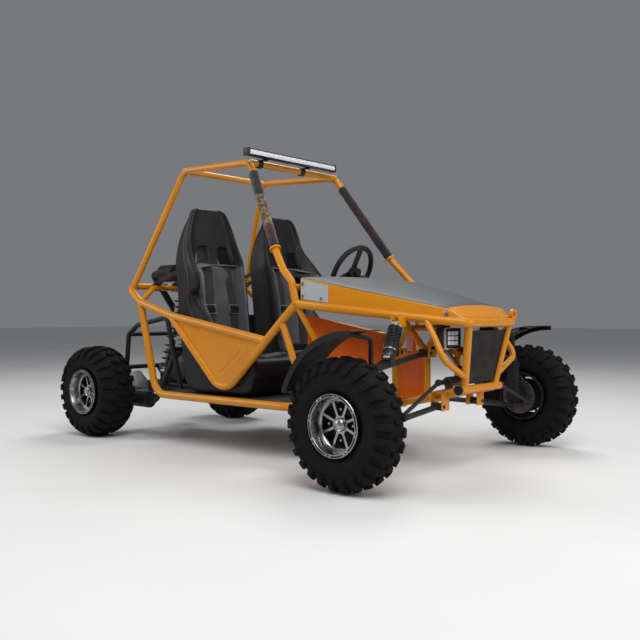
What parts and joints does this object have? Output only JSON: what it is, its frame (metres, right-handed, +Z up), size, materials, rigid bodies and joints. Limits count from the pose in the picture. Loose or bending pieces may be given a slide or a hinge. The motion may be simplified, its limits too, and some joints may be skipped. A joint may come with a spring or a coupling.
{
  "type": "two-seat off-road buggy",
  "caption": "Open off-road buggy with a yellow tube cage, two bucket seats, wishbone front suspension and a chain-driven rear axle.",
  "frame": {"origin": "on the ground, midway between nose and tail and between the sides", "axes": "+X towards the nose, +Y towards the left side, +Z up"},
  "size_m": [2.3244, 1.56, 1.4029],
  "materials": {
    "frame_yellow": "gloss powder coat",
    "machined_rim": "machined",
    "tyre_rubber": "matt",
    "bare_steel": "satin",
    "black_steel": "satin powder coat",
    "black_plastic": "grained",
    "chromed_steel": "polished",
    "spring_black": "satin",
    "cast_alloy": "cast",
    "black_leather": "grained",
    "hood_shell": "gloss",
    "dark_plate": "scuffed",
    "lamp_body": "satin",
    "floor_black": "satin",
    "panel_yellow": "gloss",
    "seat_vinyl": "grained",
    "webbing": "woven",
    "pad_fabric": "woven",
    "filter_black": "matt"
  },
  "bodies": {
    "chassis": {"base_frame": "frame_yellow", "side_frame_right": "frame_yellow", "side_frame_left": "frame_yellow", "rear_hoop": "frame_yellow", "nose_frame": "frame_yellow", "roof_cage": "frame_yellow", "front_arms": "black_steel", "shocks": "chromed_steel", "springs": "spring_black", "rack_housing": "cast_alloy", "steering_column": "black_steel", "hood": "hood_shell", "dash_panel": "black_plastic", "nose_plate": "dark_plate", "headlamps": "lamp_body", "floor_pan": "floor_black", "footwell_panels": "panel_yellow", "door_panels": "panel_yellow", "seat_right": "seat_vinyl", "seat_left": "seat_vinyl", "harnesses": "webbing", "light_bar": "lamp_body", "pillar_pads": "pad_fabric", "swing_arm": "black_steel", "engine_block": "cast_alloy", "engine_cylinder": "cast_alloy", "air_filter": "filter_black", "muffler": "chromed_steel", "fuel_tank": "black_plastic", "engine_guard": "black_steel"},
    "knuckle_right": {"knuckle_right": "black_steel", "mudguard_right": "black_plastic"},
    "knuckle_left": {"knuckle_left": "black_steel", "mudguard_left": "black_plastic"},
    "front_wheel_right": {"front_wheel_right": "machined_rim", "front_tyre_right": "tyre_rubber"},
    "front_wheel_left": {"front_wheel_left": "machined_rim", "front_tyre_left": "tyre_rubber"},
    "rear_axle": {"rear_axle": "bare_steel", "rear_wheels": "machined_rim", "rear_tyres": "tyre_rubber"},
    "steering_rack": {"rack_and_rods": "chromed_steel"},
    "steering_wheel": {"steering_wheel": "black_leather"},
    "lower_shaft": {"lower_shaft": "bare_steel"}
  },
  "joints": [
    {"name": "steer_right", "type": "hinge", "parent": "chassis", "child": "knuckle_right", "pos_m": [0.91875, -0.55, 0.2435], "axis": [0, 0, 1], "range_deg": [-26, 26]},
    {"name": "steer_left", "type": "hinge", "parent": "chassis", "child": "knuckle_left", "pos_m": [0.91875, 0.55, 0.2435], "axis": [0, 0, 1], "range_deg": [-26, 26]},
    {"name": "rack_slide", "type": "slide", "parent": "chassis", "child": "steering_rack", "axis": [0, 1, 0], "range_m": [-0.0405, 0.0405]},
    {"name": "steering_wheel_turn", "type": "hinge", "parent": "chassis", "child": "steering_wheel", "pos_m": [0.183, 0.256, 0.845], "axis": [-0.8926, 0, 0.4509], "range_deg": [-156.5, 156.5]},
    {"name": "lower_shaft_turn", "type": "hinge", "parent": "chassis", "child": "lower_shaft", "pos_m": [0.985, 0.03, 0.362], "axis": [-0.7453, 0.417, 0.5202], "range_deg": [-156.5, 156.5]},
    {"name": "front_spin_right", "type": "hinge", "parent": "knuckle_right", "child": "front_wheel_right", "pos_m": [0.91875, -0.702, 0.2435], "axis": [0, 1, 0], "continuous": true},
    {"name": "front_spin_left", "type": "hinge", "parent": "knuckle_left", "child": "front_wheel_left", "pos_m": [0.91875, 0.702, 0.2435], "axis": [0, 1, 0], "continuous": true},
    {"name": "rear_spin", "type": "hinge", "parent": "chassis", "child": "rear_axle", "pos_m": [-0.92825, 0, 0.234], "axis": [0, 1, 0], "continuous": true}
  ],
  "couplings": [
    {"joint": "steer_left", "follows": "steer_right", "ratio": 1},
    {"joint": "rack_slide", "follows": "steer_right", "m_per_rad": 0.088},
    {"joint": "steering_wheel_turn", "follows": "steer_right", "ratio": 6},
    {"joint": "lower_shaft_turn", "follows": "steer_right", "ratio": 6}
  ]
}
